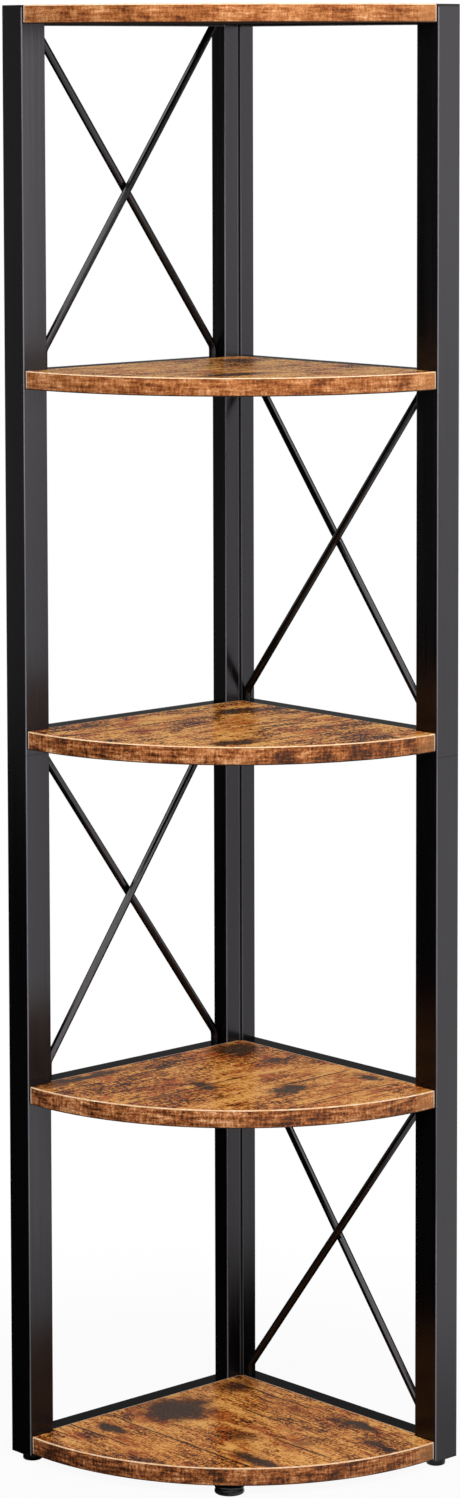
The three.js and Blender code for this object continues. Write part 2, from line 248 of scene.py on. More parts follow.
def varied(tree, base, layers):
    """The base value plus each layer's swing round its middle, times the layer's share."""
    tone = base
    for layer, share in layers:
        tone = maths(tree, "MULTIPLY_ADD", maths(tree, "SUBTRACT", layer, 0.5), share, tone)
    return tone


def strongest(tree, masks):
    most = masks[0]
    for mask in masks[1:]:
        most = maths(tree, "MAXIMUM", most, mask)
    return most


# Depth of the relief in the surfaces
FINE_RELIEF = 0.1 * MM
DECOR_RELIEF = 0.2 * MM

# Black powder coat
COAT_DARK = (0.0010, 0.0009, 0.0010)
COAT_LIGHT = (0.0020, 0.0019, 0.0020)
COAT_TINT = (0.98, 0.92, 1.0, 1.0)
# Painted highlight on the round tube corners that face the room and on the rims beside the rear posts'
# groove
PAINTED_CORNER_HIGHLIGHT = linear(104, 102, 108)
FRONT_POST_GLOSS = 0.3
REAR_POST_GLOSS = 0.21
BAR_GLOSS = 0.06
ROD_GLOSS = 0.3
COAT_GRAIN = 1100.0            # noise frequency per metre, as the next two, which have X, Y and Z
COAT_CLOUD = (30.0, 30.0, 6.0)
COAT_DRAWN = (420.0, 420.0, 5.0)
COAT_ROUGHNESS = 0.20
CLOUD_ROUGHNESS_SHARE = 0.08
DRAWN_ROUGHNESS_SHARE = 0.24
COAT_BUMP = 0.12
HIGHLIGHT_STREAKS = (0.25, 0.6)      # of the drawn noise
HIGHLIGHT_STREAK_SHARES = (0.45, 1.0)
ROOM_SIDE = (0.707, -0.707, 0.0)
CORNER_FACING = (0.82, 0.97)   # largest part of the normal, on a round corner and on a flat side
ROOM_FACING = (0.3, 0.5)
REAR_JOINT = plan(BAR, 0).y    # where the two rear posts meet

# Distances from the joint of the rear posts: the rough groove, the coat without the painted highlight, and
# the pale rims of painted highlight
GROOVE_ROUGH = (1.1 * MM, 1.5 * MM)
GROOVE_UNHIGHLIGHTED = (1.4 * MM, 1.8 * MM)
GROOVE_HIGHLIGHT_RIM = 2.2 * MM
GROOVE_HIGHLIGHT_RIM_FADE = (0.2 * MM, 0.9 * MM)
GROOVE_HIGHLIGHT_RIM_SHARE = 0.5
SIDE_MARGIN = 1 * MM


def tube_corners(tree):
    """1 on a tube's round corners that face the room, where the highlight is painted; 0 on flat sides and
    other corners.
    """
    normal = add(tree, "ShaderNodeTexCoord").outputs["Normal"]
    sizes = [maths(tree, "ABSOLUTE", part) for part in split(tree, normal)]
    corner = smooth(tree, strongest(tree, sizes), *CORNER_FACING, 1.0, 0.0)
    return maths(tree, "MULTIPLY", corner, smooth(tree, dot(tree, normal, ROOM_SIDE), *ROOM_FACING))


def rear_groove(tree, place):
    """Distance from the joint of the two rear posts, on the side that faces the room; far away elsewhere."""
    parts = split(tree, place)
    beside = maths(tree, "ABSOLUTE", maths(tree, "SUBTRACT", parts["Y"], REAR_JOINT))
    in_front = maths(tree, "GREATER_THAN", parts["X"], plan(0, BAR / 2).x)
    out_of_post = maths(tree, "GREATER_THAN", parts["X"], plan(0, BAR + SIDE_MARGIN).x)
    away = maths(tree, "ADD", maths(tree, "SUBTRACT", 1.0, in_front), out_of_post)
    return maths(tree, "ADD", beside, away)


def painted_highlight_share(tree, groove, drawn):
    """How strongly the highlight is painted: on the corners of a tube and the rims of the groove, in streaks
    along it.
    """
    rims = near_middle(tree, groove, GROOVE_HIGHLIGHT_RIM, *GROOVE_HIGHLIGHT_RIM_FADE, GROOVE_HIGHLIGHT_RIM_SHARE)
    corners = maths(tree, "MULTIPLY", tube_corners(tree), smooth(tree, groove, *GROOVE_UNHIGHLIGHTED))
    streaks = smooth(tree, drawn, *HIGHLIGHT_STREAKS, *HIGHLIGHT_STREAK_SHARES)
    return maths(tree, "MULTIPLY", maths(tree, "MAXIMUM", corners, rims), streaks)


def steel_material(name, gloss, tubes=True):
    """Black powder coat, on tubes with a painted highlight along the corners that face the room."""
    material, tree, shader, place = new_material(name)
    grain = noise(tree, place, COAT_GRAIN, 3.0, 0.6)
    cloud = noise(tree, stretched(tree, place, *COAT_CLOUD), 1.0, 3.0, 0.55)
    drawn = noise(tree, stretched(tree, place, *COAT_DRAWN), 1.0, 2.0, 0.5)
    coat = ramp(tree, cloud, [(0.3, COAT_DARK), (0.7, COAT_LIGHT)])
    swings = ((cloud, CLOUD_ROUGHNESS_SHARE), (drawn, DRAWN_ROUGHNESS_SHARE))
    roughness = varied(tree, COAT_ROUGHNESS, swings)
    if tubes:
        groove = rear_groove(tree, place)
        # Painted highlight: the room-facing corners and the groove's rims paler, in streaks
        coat = mix_colour(tree, painted_highlight_share(tree, groove, drawn), coat, PAINTED_CORNER_HIGHLIGHT)
        roughness = maths(tree, "MAXIMUM", roughness, smooth(tree, groove, *GROOVE_ROUGH, 1.0, 0.0))
    tree.links.new(coat, shader.inputs["Base Color"])
    tree.links.new(roughness, shader.inputs["Roughness"])
    shader.inputs["Specular IOR Level"].default_value = gloss
    shader.inputs["Specular Tint"].default_value = COAT_TINT
    bump(tree, shader, grain, COAT_BUMP, FINE_RELIEF)
    return material


# Noise values that give the first and the last of a range of roughness
NOISE_RANGE = (0.2, 0.8)

# Plastic and zinc of the small parts
PLASTIC_GRAIN = 1400.0
PLASTIC_STOPS = [(0.3, (0.004, 0.004, 0.0043)), (0.7, (0.008, 0.008, 0.0085))]
PLASTIC_ROUGHNESS = (0.16, 0.26)
PLASTIC_GLOSS = 0.15
PLASTIC_BUMP = 0.15

ZINC_SPANGLE = 600.0
ZINC_STOPS = [(0.3, (0.46, 0.47, 0.48)), (0.7, (0.62, 0.63, 0.64))]
ZINC_ROUGHNESS = (0.28, 0.42)


def plastic_material():
    """Moulded black plastic of the feet, caps and plugs."""
    material, tree, shader, place = new_material("black_plastic")
    grain = noise(tree, place, PLASTIC_GRAIN, 2.0, 0.5)
    tree.links.new(ramp(tree, grain, PLASTIC_STOPS), shader.inputs["Base Color"])
    tree.links.new(smooth(tree, grain, *NOISE_RANGE, *PLASTIC_ROUGHNESS), shader.inputs["Roughness"])
    shader.inputs["Specular IOR Level"].default_value = PLASTIC_GLOSS
    bump(tree, shader, grain, PLASTIC_BUMP, FINE_RELIEF)
    return material


def zinc_material():
    """Zinc plate of the bolts and the insert."""
    material, tree, shader, place = new_material("zinc_plate")
    spangle = noise(tree, place, ZINC_SPANGLE, 2.0, 0.5)
    tree.links.new(ramp(tree, spangle, ZINC_STOPS), shader.inputs["Base Color"])
    tree.links.new(smooth(tree, spangle, *NOISE_RANGE, *ZINC_ROUGHNESS), shader.inputs["Roughness"])
    shader.inputs["Metallic"].default_value = 1.0
    return material


# Board decor
DARK_BROWN = linear(40, 22, 12)
RED_BROWN = linear(100, 50, 22)
MID_BROWN = linear(156, 84, 32)
ORANGE_BROWN = linear(202, 118, 42)
LIGHT_BROWN = linear(230, 146, 62)
OCHRE = linear(255, 188, 104)
CHARCOAL = linear(46, 41, 33)
BURNT_BROWN = linear(86, 54, 32)
RUSSET = linear(206, 150, 112)
# Pale painted highlight along the board's edges at the shelf bars
PAINTED_EDGE_HIGHLIGHT = linear(214, 190, 162)
DECOR_STOPS = [(0.04, DARK_BROWN), (0.24, RED_BROWN), (0.40, MID_BROWN), (0.56, ORANGE_BROWN),
               (0.76, LIGHT_BROWN), (0.98, OCHRE)]
BROWNED_STOPS = [(0.1, DARK_BROWN), (0.5, RED_BROWN), (0.95, MID_BROWN)]

# Overall tone of each board and of its edge band
BOARD_TONES = {1: 0.71, 2: 0.73, 3: 0.77, 4: 1.16, 5: 0.68}
BAND_TONES = {1: 0.32, 2: 0.44, 3: 0.37, 4: 0.52, 5: 0.48}

# Contrast of each board's grain and of its band, and how strongly the board mirrors
GRAIN_SHARES = {1: 1.00, 2: 0.90, 3: 1.50, 4: 2.40, 5: 0.90}
BAND_SHARES = {1: 0.9, 2: 0.9, 3: 0.85, 4: 0.65, 5: 0.55}
BOARD_GLOSS = {1: 0.35, 2: 0.30, 3: 0.15, 4: 0.45, 5: 0.30}

# Stains of each board: distance u and v of the middle, half length along u and along v, and strength.
# From about 0.65 the middle of a stain is charred, below that it is only browner
# Boards 1 to 4 each hold one near the rear corner under the board above, (52, 46) on board 1 and the first
# of boards 2 to 4: painted shade, drawn as a stain
STAINS = {
    1: [(148, 60, 30, 27, 1.0), (232, 59, 9, 18, 0.95), (193, 229, 10, 26, 1.0), (46, 219, 8, 24, 0.9),
        (52, 46, 28, 22, 0.72), (153, 164, 24, 24, 0.66), (72, 268, 12, 20, 0.74), (266, 160, 7, 18, 0.62),
        (120, 222, 34, 22, 0.60)],
    2: [(53, 45, 24, 20, 0.95), (178, 131, 9, 24, 0.85), (126, 206, 20, 12, 0.92), (54, 109, 13, 13, 0.8),
        (34, 226, 10, 17, 0.85), (240, 33, 62, 10, 0.85), (168, 44, 30, 12, 0.6), (153, 240, 22, 8, 0.6)],
    3: [(70, 68, 28, 11, 0.9), (203, 212, 20, 10, 1.0), (98, 167, 23, 4, 0.9), (74, 200, 15, 7, 0.7),
        (40, 104, 9, 22, 0.65), (235, 46, 40, 7, 0.6), (150, 96, 20, 6, 0.6)],
    4: [(62, 66, 30, 18, 0.8), (190, 200, 40, 14, 0.85), (220, 90, 40, 8, 0.6), (60, 230, 26, 8, 0.6)],
    5: [(120, 90, 34, 18, 0.8), (210, 200, 26, 14, 0.8), (70, 220, 22, 10, 0.6)],
}

# Paler golden areas, in the same terms
GOLDEN = {
    1: [(246, 122, 24, 46, 1.0), (56, 130, 22, 40, 1.0), (205, 62, 16, 30, 0.7), (110, 250, 24, 34, 0.7),
        (100, 100, 22, 30, 0.6)],
    2: [(100, 258, 40, 34, 1.0), (112, 140, 36, 22, 0.9), (214, 100, 46, 20, 0.6), (60, 168, 30, 22, 0.9)],
    3: [(158, 150, 34, 22, 0.8), (236, 90, 50, 26, 1.0), (120, 230, 40, 26, 0.6), (170, 60, 40, 20, 0.8)],
    4: [(230, 60, 70, 40, 1.0), (150, 120, 60, 30, 0.7), (70, 250, 40, 40, 0.5)],
    5: [(200, 120, 60, 40, 0.8)],
}

# Seams between the printed planks: distance across the grain, and where along it they begin and end
SEAMS = {
    1: [(208, 40, 236), (254, 20, 110), (95, 104, 156), (134, 190, 268), (44, 40, 150)],
    2: [(58, 60, 200), (138, 120, 260), (190, 30, 120), (258, 40, 140)],
    3: [(74, 150, 290), (148, 40, 130), (226, 60, 190)],
    4: [(60, 60, 260), (140, 100, 280), (215, 40, 180)],
    5: [(90, 60, 260), (170, 60, 260), (250, 60, 160)],
}


LOWEST = 1                     # the one board whose grain runs along X
GRAIN_TILT = 0.05              # radians
PLANK_SHIFT = (0.31, 0.17)     # of the pattern, from one plank to the next
BOARD_SHIFT = (0.37, 0.61)     # and from one board to the next

# Noise layers of the decor: frequency along and across the grain per metre, detail, roughness, distortion
DECOR_NOISE = {
    "broad": (10.0, 20.0, 4.0, 0.6, 1.0),
    "mottle": (38.0, 75.0, 5.0, 0.68, 1.4),
    "stain": (24.0, 40.0, 5.0, 0.68, 0.6),
    "curl": (110.0, 170.0, 3.0, 0.6, 1.6),
    "streak": (34.0, 420.0, 4.0, 0.6, 0.3),
    "speck": (330.0, 380.0, 3.0, 0.7, 0.0),
    "saw": (430.0, 80.0, 3.0, 0.6, 0.0),
    "vein": (12.0, 110.0, 4.0, 0.6, 0.6),
}

# Shares of the layers in the tone of the grain, in the ragged border of a stain, and in its two colours
DECOR_SHARES = {"broad": 2.4, "mottle": 1.5, "streak": 1.9, "speck": 3.0, "saw": 1.3, "vein": 0.6}
BORDER_SHARES = {"streak": 0.9, "speck": 0.9, "curl": 0.7}
BROWNED_SHARES = {"broad": 1.6, "speck": 2.0, "streak": 1.2}
CHARRED_SHARES = {"speck": 2.2, "streak": 1.4}
RELIEF_SHARES = {"streak": 0.5, "speck": 0.3}
PLANK_SHARE = 0.14
LINE_SHARE = 0.14              # of the thin veins and curls
LINE_WIDTHS = {"vein": 0.035, "curl": 0.055}
MARKS_SHARE = 1.05
CALM_SHARE = 0.45              # how much weaker the marks are in a golden area
GOLDEN_LIFT = 0.10
RUSSET_RANGE = (0.48, 0.62)    # of the stain noise
RUSSET_SHARE = 0.85
BROWNED_TONE = 0.45
BROWNED_SHARE = 0.8
CHARRED_TONE = 0.35
CHARRED_SHARE = 0.92
DECOR_ROUGHNESS = (0.16, 0.30)
DECOR_BUMP = 0.15

# Nearness in the middle of a stain or golden area, and how much it falls over each half length
NEAR_MIDDLE = 1.6
NEAR_SLOPE = 0.55

# Nearness at the faint border of an area and where it is full
GOLDEN_NEAR = (0.72, 1.25)
BROWNED_NEAR = (0.72, 1.0)
CHARRED_NEAR = (1.0, 1.12)

SWAY = 7 * MM                  # how far a seam wanders
SWAY_FREQUENCY = 22.0
SEAM_HALF_WIDTH = (0.6 * MM, 1.7 * MM)
SEAM_RIM = 3 * MM              # from the seam
SEAM_RIM_HALF_WIDTH = (0.4 * MM, 1.8 * MM)
SEAM_END_FADE = 6 * MM
SEAM_SHARE = 0.9
SEAM_RIM_SHARE = 0.35
SEAM_DEPTH_SHARE = 0.6
# Width and share of the painted highlight along the shelf bars
EDGE_HIGHLIGHT_WIDTH = (0.8 * MM, 1.8 * MM)
EDGE_HIGHLIGHT_SHARE = 0.75
SWIRLS = ((38.0, 30 * MM), (150.0, 9 * MM))    # of a stain's border: frequency and reach


def shared(tree, base, layers, shares):
    """The base value plus the swing of each named layer times its share."""
    return varied(tree, base, [(layers[name], share) for name, share in shares.items()])


def nearness(tree, place, wobble, area):
    """Above zero inside a stain or paler area and its ragged border, times its strength."""
    u, v, half_u, half_v, strength = area
    middle = plan(u * MM, v * MM)
    offset = vector_maths(tree, "SUBTRACT", place, (middle.x, middle.y, 0.0))
    scaled = vector_maths(tree, "MULTIPLY", offset, (1 / (half_v * MM), 1 / (half_u * MM), 0.0))
    reach = vector_length(tree, scaled)
    near = maths(tree, "MULTIPLY_ADD", reach, -NEAR_SLOPE, maths(tree, "ADD", NEAR_MIDDLE, wobble))
    return maths(tree, "MULTIPLY", near, strength)


def seam_lines(tree, across, along, shelf):
    """The dark lines of the seams, the pale rims beside them, and how many seams lie below a place."""
    lines = []
    rims = []
    passed = 0.0
    for seam, start, end in SEAMS[shelf]:
        if shelf == LOWEST:
            at = plan(seam * MM, 0).y
            first, last = (plan(0, value * MM).x for value in (start, end))
        else:
            at = plan(0, seam * MM).x
            last, first = (plan(value * MM, 0).y for value in (start, end))
        begun = smooth(tree, along, first - SEAM_END_FADE, first + SEAM_END_FADE)
        ended = smooth(tree, along, last - SEAM_END_FADE, last + SEAM_END_FADE, 1.0, 0.0)
        within = maths(tree, "MULTIPLY", begun, ended)
        line = near_middle(tree, across, at, *SEAM_HALF_WIDTH)
        rim = near_middle(tree, across, at + SEAM_RIM, *SEAM_RIM_HALF_WIDTH)
        lines.append(maths(tree, "MULTIPLY", line, within))
        rims.append(maths(tree, "MULTIPLY", rim, within))
        passed = maths(tree, "ADD", passed, maths(tree, "GREATER_THAN", across, at))
    return strongest(tree, lines), strongest(tree, rims), passed


def grain_place(tree, place, passed, shelf):
    """The place with its X along the grain, moved on from plank to plank and from board to board."""
    jump = add(tree, "ShaderNodeCombineXYZ", {0: passed, 1: passed, 2: 0.0}).outputs[0]
    moved = vector_maths(tree, "ADD", place, stretched(tree, jump, *PLANK_SHIFT, 0.0))
    moved = vector_maths(tree, "ADD", moved, (*(step * shelf for step in BOARD_SHIFT), 0.0))
    turn = GRAIN_TILT if shelf == LOWEST else math.pi / 2 + GRAIN_TILT
    return add(tree, "ShaderNodeMapping", {0: moved, "Rotation": (0.0, 0.0, turn)}).outputs[0]


def grain_colour(tree, layers, passed, golden, shelf):
    """Colour of the printed grain: each plank with its own tone, calm and light in the golden areas."""
    plank = add(tree, "ShaderNodeTexWhiteNoise", {"W": passed}, noise_dimensions="1D").outputs["Value"]
    marks = shared(tree, 0.0, {**layers, "plank": plank}, {**DECOR_SHARES, "plank": PLANK_SHARE})
    for name, width in LINE_WIDTHS.items():
        line = near_middle(tree, layers[name], 0.5, 0.0, width)
        marks = maths(tree, "SUBTRACT", marks, maths(tree, "MULTIPLY", line, LINE_SHARE))
    calm = smooth(tree, golden, *GOLDEN_NEAR)
    marks = maths(tree, "MULTIPLY", marks, maths(tree, "MULTIPLY_ADD", calm, -CALM_SHARE, MARKS_SHARE))
    tone = maths(tree, "MULTIPLY_ADD", marks, GRAIN_SHARES[shelf], BOARD_TONES[shelf])
    colour = ramp(tree, maths(tree, "MULTIPLY_ADD", calm, GOLDEN_LIFT, tone), DECOR_STOPS)
    russet = smooth(tree, layers["stain"], *RUSSET_RANGE, 0.0, RUSSET_SHARE)
    return mix_colour(tree, russet, colour, RUSSET, "MULTIPLY")


def stained(tree, colour, near, layers):
    """The colour browned in the border of a stain and charred in its middle."""
    browned = ramp(tree, shared(tree, BROWNED_TONE, layers, BROWNED_SHARES), BROWNED_STOPS)
    colour = mix_colour(tree, smooth(tree, near, *BROWNED_NEAR, 0.0, BROWNED_SHARE), colour, browned)
    charred = mix_colour(tree, shared(tree, CHARRED_TONE, layers, CHARRED_SHARES), CHARCOAL, BURNT_BROWN)
    return mix_colour(tree, smooth(tree, near, *CHARRED_NEAR, 0.0, CHARRED_SHARE), colour, charred)


def painted_edge_highlight(tree, colour, parts):
    """The colour with a pale painted highlight along the board's edges at the two shelf bars."""
    beside_left = maths(tree, "SUBTRACT", parts["X"], plan(0, BAR).x)
    beside_right = maths(tree, "SUBTRACT", plan(BAR, 0).y, parts["Y"])
    beside = maths(tree, "MINIMUM", beside_left, beside_right)
    return mix_colour(tree, smooth(tree, beside, *EDGE_HIGHLIGHT_WIDTH, EDGE_HIGHLIGHT_SHARE, 0.0), colour, PAINTED_EDGE_HIGHLIGHT)


def board_material(shelf):
    """Rustic plank decor of one board, with the grain along X on the lowest board, else along Y."""
    material, tree, shader, place = new_material("board_decor_%d" % shelf)
    parts = split(tree, place)
    across, along = (parts[axis] for axis in (("Y", "X") if shelf == LOWEST else ("X", "Y")))
    sway = noise(tree, stretched(tree, place, SWAY_FREQUENCY, SWAY_FREQUENCY, 0.0), 1.0, 3.0, 0.6)
    wavy = maths(tree, "MULTIPLY_ADD", maths(tree, "SUBTRACT", sway, 0.5), SWAY, across)
    seam_line, seam_rim, passed = seam_lines(tree, wavy, along, shelf)
    layers = noise_layers(tree, grain_place(tree, place, passed, shelf), DECOR_NOISE)

    ragged = place
    for scale, reach in SWIRLS:
        ragged = warped(tree, ragged, scale, reach)
    wobble = shared(tree, 0.0, layers, BORDER_SHARES)
    golden, near = (strongest(tree, [nearness(tree, ragged, wobble, area) for area in areas[shelf]])
                    for areas in (GOLDEN, STAINS))

    colour = stained(tree, grain_colour(tree, layers, passed, golden, shelf), near, layers)
    colour = mix_colour(tree, maths(tree, "MULTIPLY", seam_rim, SEAM_RIM_SHARE), colour, LIGHT_BROWN)
    colour = mix_colour(tree, maths(tree, "MULTIPLY", seam_line, SEAM_SHARE), colour, DARK_BROWN)
    tree.links.new(painted_edge_highlight(tree, colour, parts), shader.inputs["Base Color"])
    roughness = smooth(tree, layers["speck"], *NOISE_RANGE, *DECOR_ROUGHNESS)
    tree.links.new(roughness, shader.inputs["Roughness"])
    shader.inputs["Specular IOR Level"].default_value = BOARD_GLOSS[shelf]
    relief = shared(tree, 0.0, layers, RELIEF_SHARES)
    relief = maths(tree, "SUBTRACT", relief, maths(tree, "MULTIPLY", seam_line, SEAM_DEPTH_SHARE))
    bump(tree, shader, relief, DECOR_BUMP, DECOR_RELIEF)
    return material


# Dark sheet on the underside of the boards: painted shade
UNDERSIDE_FIBRE = 500.0
# Painted shade: dark browns, as the underside gets little light
UNDERSIDE_SHADE_STOPS = [(0.3, linear(30, 20, 15)), (0.7, linear(48, 33, 25))]
UNDERSIDE_ROUGHNESS = (0.7, 0.85)
UNDERSIDE_GLOSS = 0.2
UNDERSIDE_BUMP = 0.2


def underside_shade_material():
    """Dark sheet on the underside of a board and on the lower round of its edge band: painted shade."""
    material, tree, shader, place = new_material("board_underside_shade")
    fibre = noise(tree, stretched(tree, place, UNDERSIDE_FIBRE, UNDERSIDE_FIBRE, 1.0), 1.0, 3.0, 0.6)
    tree.links.new(ramp(tree, fibre, UNDERSIDE_SHADE_STOPS), shader.inputs["Base Color"])
    tree.links.new(smooth(tree, fibre, *NOISE_RANGE, *UNDERSIDE_ROUGHNESS), shader.inputs["Roughness"])
    shader.inputs["Specular IOR Level"].default_value = UNDERSIDE_GLOSS
    bump(tree, shader, fibre, UNDERSIDE_BUMP, FINE_RELIEF)
    return material


# Noise layers of the edge band: frequency along and up the band per metre, detail, roughness, distortion
BAND_NOISE = {
    "patch": (30.0, 20.0, 4.0, 0.65, 0.0),
    "lines": (45.0, 300.0, 3.0, 0.6, 0.0),
    "sawn": (330.0, 90.0, 3.0, 0.65, 0.0),
    "speck": (520.0, 520.0, 2.0, 0.6, 0.0),
}
BAND_NOISE_SHARES = {"patch": 1.8, "lines": 1.9, "sawn": 1.3, "speck": 1.0}
BAND_STOPS = [(0.04, linear(50, 26, 14)), (0.26, linear(106, 56, 26)), (0.46, linear(152, 88, 44)),
              (0.70, linear(194, 132, 84)), (0.95, linear(230, 182, 140))]
UNDER_EDGE = linear(84, 46, 26)
# Painted light on the flat tip that faces the lit side
TIP_PAINTED_LIGHT = linear(206, 142, 88)
# Pale painted highlight at the band's ends beside the posts
END_HIGHLIGHT = linear(222, 196, 172)
# Pale plastic of the band's top corner, brightened as a painted highlight
PALE_EDGE_STOPS = [(0.35, linear(236, 182, 130)), (0.65, linear(253, 222, 184))]

BAND_ROUGHNESS = (0.42, 0.58)
BAND_GLOSS = 0.15
BAND_BUMP = 0.3
PALE_EDGE_NOISE = 200.0
PALE_EDGE_ROUGHNESS = (0.30, 0.45)

UNDER_EDGE_SHARES = (1.0, 2.2)    # of the edge, below the top
UNDER_EDGE_SHARE = 0.5
# Shares and fades of the painted light on the tip and of the painted highlight at the ends
TIP_PAINTED_LIGHT_SHARE = 0.35
END_HIGHLIGHT_SHARE = 0.85
TIP_PAINTED_LIGHT_FADE = (-0.5 * MM, -0.2 * MM)
END_HIGHLIGHT_WIDTH = (-1.8 * MM, -0.9 * MM)


def band_ends(tree, colour, parts, centre):
    """The colour with painted light: paler on the flat tip at the right frame's post, which faces the lit
    side, and a pale painted highlight at the band's ends beside the posts. parts are the place's distances
    from the centre of the arc."""
    face = TIP - ARC_CENTRE
    tip = smooth(tree, parts["X"], *(face + step for step in TIP_PAINTED_LIGHT_FADE), 0.0, TIP_PAINTED_LIGHT_SHARE)
    colour = mix_colour(tree, tip, colour, TIP_PAINTED_LIGHT)
    end = plan(BESIDE_POST, BESIDE_POST) - centre
    beyond = maths(tree, "MAXIMUM", maths(tree, "SUBTRACT", end.x, parts["X"]),
                   maths(tree, "SUBTRACT", parts["Y"], end.y))
    return mix_colour(tree, smooth(tree, beyond, *END_HIGHLIGHT_WIDTH, 0.0, END_HIGHLIGHT_SHARE), colour, END_HIGHLIGHT)


def band_material(shelf):
    """Printed edge band of one board: sawn cross marks and fine lines along the edge."""
    material, tree, shader, place = new_material("edge_band_%d" % shelf)
    centre = plan(ARC_CENTRE, ARC_CENTRE)
    parts = split(tree, vector_maths(tree, "SUBTRACT", place, (centre.x, centre.y, 0.0)))
    along = maths(tree, "MULTIPLY", maths(tree, "ARCTAN2", parts["Y"], parts["X"]), ARC_RADIUS)
    flat = add(tree, "ShaderNodeCombineXYZ", {0: along, 1: parts["Z"], 2: 0.0}).outputs[0]
    layers = noise_layers(tree, flat, BAND_NOISE)

    marks = shared(tree, 0.0, layers, BAND_NOISE_SHARES)
    tone = maths(tree, "MULTIPLY_ADD", marks, BAND_SHARES[shelf], BAND_TONES[shelf])
    colour = ramp(tree, tone, BAND_STOPS)
    below_top = maths(tree, "MODULO", maths(tree, "SUBTRACT", TOP_LEVEL + PITCH, parts["Z"]), PITCH)
    width = [BAND_EDGE * share for share in UNDER_EDGE_SHARES]
    colour = mix_colour(tree, smooth(tree, below_top, *width, UNDER_EDGE_SHARE, 0.0), colour, UNDER_EDGE)
    tree.links.new(band_ends(tree, colour, parts, centre), shader.inputs["Base Color"])
    roughness = smooth(tree, layers["speck"], *NOISE_RANGE, *BAND_ROUGHNESS)
    tree.links.new(roughness, shader.inputs["Roughness"])
    shader.inputs["Specular IOR Level"].default_value = BAND_GLOSS
    bump(tree, shader, tone, BAND_BUMP, DECOR_RELIEF)
    return material


def pale_edge_material():
    """Scraped corner of the edge band, where the print ends and the paler plastic shows, brightened as a
    painted highlight.
    """
    material, tree, shader, place = new_material("edge_band_corner")
    tone = noise(tree, place, PALE_EDGE_NOISE, 3.0, 0.6)
    tree.links.new(ramp(tree, tone, PALE_EDGE_STOPS), shader.inputs["Base Color"])
    tree.links.new(smooth(tree, tone, *NOISE_RANGE, *PALE_EDGE_ROUGHNESS), shader.inputs["Roughness"])
    return material


# Mesh helpers
def offset_outline(points, distance, closed):
    """The plan points moved square to the line, to its right as it is walked, with mitred corners."""
    moved = []
    last = len(points) - 1
    for i, point in enumerate(points):
        before = points[i - 1] if (closed or i > 0) else None
        after = points[(i + 1) % len(points)] if (closed or i < last) else None
        normals = []
        for a, b in ((before, point), (point, after)):
            if a is not None and b is not None:
                run = (b - a).normalized()
                normals.append(Vector((run.y, -run.x)))
        normal = sum(normals, Vector((0.0, 0.0))).normalized()
        moved.append(point + normal * (distance / normal.dot(normals[0])))
    return moved


def mesh_object(name, vertices, faces, face_materials, materials):
    mesh = bpy.data.meshes.new(name)
    mesh.from_pydata([tuple(v) for v in vertices], [], faces)
    for material in materials:
        mesh.materials.append(material)
    for polygon, index in zip(mesh.polygons, face_materials):
        polygon.material_index = index
    mesh.validate()
    mesh.shade_smooth()
    mesh.set_sharp_from_angle(angle=math.radians(SMOOTH_ANGLE))
    made = bpy.data.objects.new(name, mesh)
    bpy.context.scene.collection.objects.link(made)
    return made


def arc_points():
    """Points of the board's front arc, from the right frame's side to the left frame's side."""
    start = math.asin((TIP_END - ARC_CENTRE) / ARC_RADIUS)
    points = []
    for step in range(1, ARC_STEPS):
        angle = start + (math.pi / 2 - 2 * start) * step / ARC_STEPS
        u = ARC_CENTRE + ARC_RADIUS * math.sin(angle)
        v = ARC_CENTRE + ARC_RADIUS * math.cos(angle)
        points.append(plan(u, v))
    return points


def front_line():
    """The board's front, from the tip at the right frame's post to the tip at the left frame's post."""
    right = [plan(BESIDE_POST, TIP), plan(TIP_END, TIP)]
    left = [plan(TIP, TIP_END), plan(TIP, BESIDE_POST)]
    return right + arc_points() + left


def slab(name, outline, low, high, edge, materials):
    """An upright slab over a plan outline walked clockwise, its top and bottom edges chamfered by edge.
    The second material goes on the underside."""
    inner = offset_outline(outline, edge, True)
    levels = [(inner, low), (outline, low + edge), (outline, high - edge), (inner, high)]
    vertices = [(p.x, p.y, z) for ring, z in levels for p in ring]
    count = len(outline)
    faces = [tuple(range(count)), tuple(reversed(range(3 * count, 4 * count)))]
    for level in range(3):
        for i in range(count):
            a = level * count + i
            b = level * count + (i + 1) % count
            faces.append((a, a + count, b + count, b))
    return mesh_object(name, vertices, faces, [1] + [0] * (len(faces) - 1), materials)


def band_strip(name, low, high, materials):
    """The edge band, swept along the front line, its outer corners rounded off: the top one unprinted and
    pale, with a painted highlight, the lower one dark with painted shade.
    """
    line = front_line()
    inset = BAND_EDGE * BAND_ROUND_SHARE
    section = [(-BAND_THICKNESS, low), (-BAND_THICKNESS, high)]
    section += [(-BAND_EDGE, high), (-inset, high - inset), (0.0, high - BAND_EDGE)]
    section += [(0.0, low + BAND_EDGE), (-inset, low + inset), (-BAND_EDGE, low)]
    # Sides of the section: 0 print, 1 the pale top corner with its painted highlight, 2 the lower corner in
    # the dark sheet of painted shade
    kinds_by_side = [0, 0, 1, 1, 0, 2, 2, 0]
    rings = [offset_outline(line, -out, False) for out, z in section]
    vertices = []
    for i in range(len(line)):
        vertices += [(ring[i].x, ring[i].y, z) for ring, (out, z) in zip(rings, section)]
    count = len(section)
    faces = []
    kinds = []
    for i in range(len(line) - 1):
        for k in range(count):
            a = i * count + k
            b = i * count + (k + 1) % count
            faces.append((a, b, b + count, a + count))
            kinds.append(kinds_by_side[k])
    faces += [tuple(reversed(range(count))), tuple(range(len(vertices) - count, len(vertices)))]
    kinds += [1, 1]
    return mesh_object(name, vertices, faces, kinds, materials)


